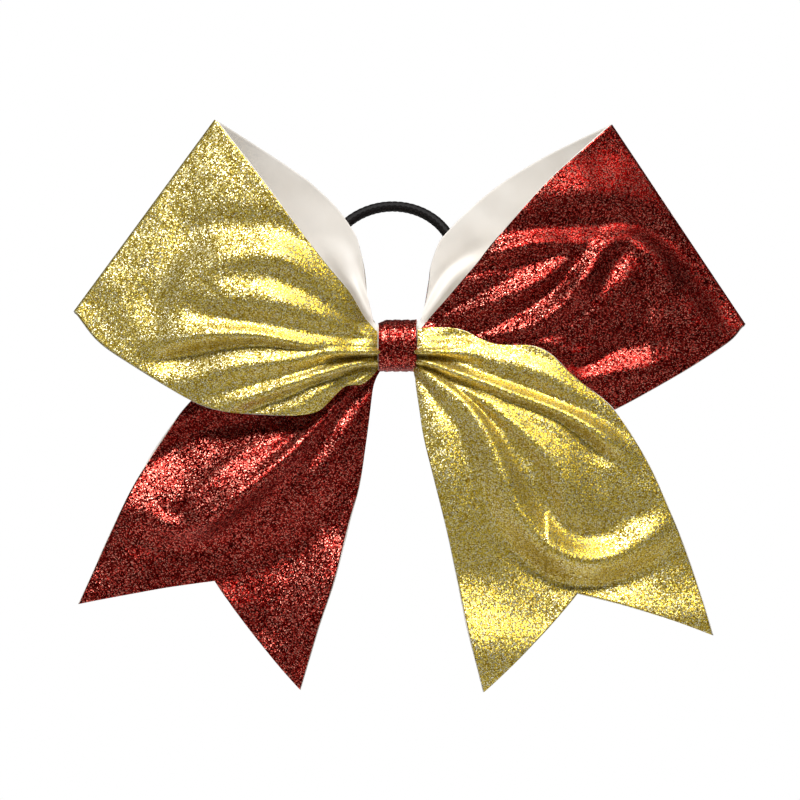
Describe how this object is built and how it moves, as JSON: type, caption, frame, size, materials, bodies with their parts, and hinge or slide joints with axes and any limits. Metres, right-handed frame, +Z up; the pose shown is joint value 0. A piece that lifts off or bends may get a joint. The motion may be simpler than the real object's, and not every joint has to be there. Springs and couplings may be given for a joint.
{
  "type": "cheer hair bow",
  "caption": "Two-tone glitter ribbon bow with two looped lobes, two notched tails, a pleated wrapped knot and a round elastic for a ponytail.",
  "frame": {"origin": "middle of the stretch of elastic that the back of the knot holds, where a ponytail pulls on the bow", "axes": "+X to the viewer's right, +Y to the back (towards the hair), +Z up as worn; the glitter side faces -Y"},
  "size_m": [0.2151, 0.0526, 0.1836],
  "materials": {
    "gold_glitter": "glitter film bonded to ribbon",
    "red_glitter": "glitter film bonded to ribbon",
    "white_ribbon": "satin ribbon",
    "black_braid": "braided cover",
    "rubber_core": "matt",
    "join_glue": "cured adhesive",
    "nylon_tie": "moulded nylon",
    "hot_glue": "translucent hot glue"
  },
  "bodies": {
    "knot": {"gold_gather": "gold_glitter", "red_gather": "red_glitter", "back_gather": "gold_glitter", "cable_tie": "nylon_tie", "hot_glue": "hot_glue", "wrap_lining": "white_ribbon", "wrap_facing": "red_glitter"},
    "gold_loop": {"gold_loop_facing": "gold_glitter", "gold_loop_lining": "white_ribbon"},
    "red_loop": {"red_loop_facing": "red_glitter", "red_loop_lining": "white_ribbon"},
    "gold_tail": {"gold_tail_facing": "gold_glitter", "gold_tail_lining": "white_ribbon"},
    "red_tail": {"red_tail_facing": "red_glitter", "red_tail_lining": "white_ribbon"},
    "elastic": {"elastic_cover": "black_braid", "elastic_core": "rubber_core", "elastic_join": "join_glue"}
  },
  "joints": [
    {"name": "elastic_swing", "type": "hinge", "parent": "knot", "child": "elastic", "pos_m": [0, 0, 0], "axis": [-0.9976, 0, -0.0698], "range_deg": [0, 150]},
    {"name": "gold_loop_flex", "type": "hinge", "parent": "knot", "child": "gold_loop", "pos_m": [-0.008, -0.0077, 0], "axis": [0.4942, 0, 0.8693], "range_deg": [-6, 6], "stiffness_Nm_per_rad": 0.03},
    {"name": "red_loop_flex", "type": "hinge", "parent": "knot", "child": "red_loop", "pos_m": [0.008, -0.0077, 0], "axis": [0.4291, 0, -0.9032], "range_deg": [-6, 6], "stiffness_Nm_per_rad": 0.03},
    {"name": "gold_tail_flex", "type": "hinge", "parent": "knot", "child": "gold_tail", "pos_m": [0.008, -0.0113, 0], "axis": [-0.8567, 0, -0.5158], "range_deg": [-6, 12], "stiffness_Nm_per_rad": 0.02},
    {"name": "red_tail_flex", "type": "hinge", "parent": "knot", "child": "red_tail", "pos_m": [-0.008, -0.0077, -0.003], "axis": [-0.8351, 0, 0.5501], "range_deg": [-8, 8], "stiffness_Nm_per_rad": 0.02}
  ]
}
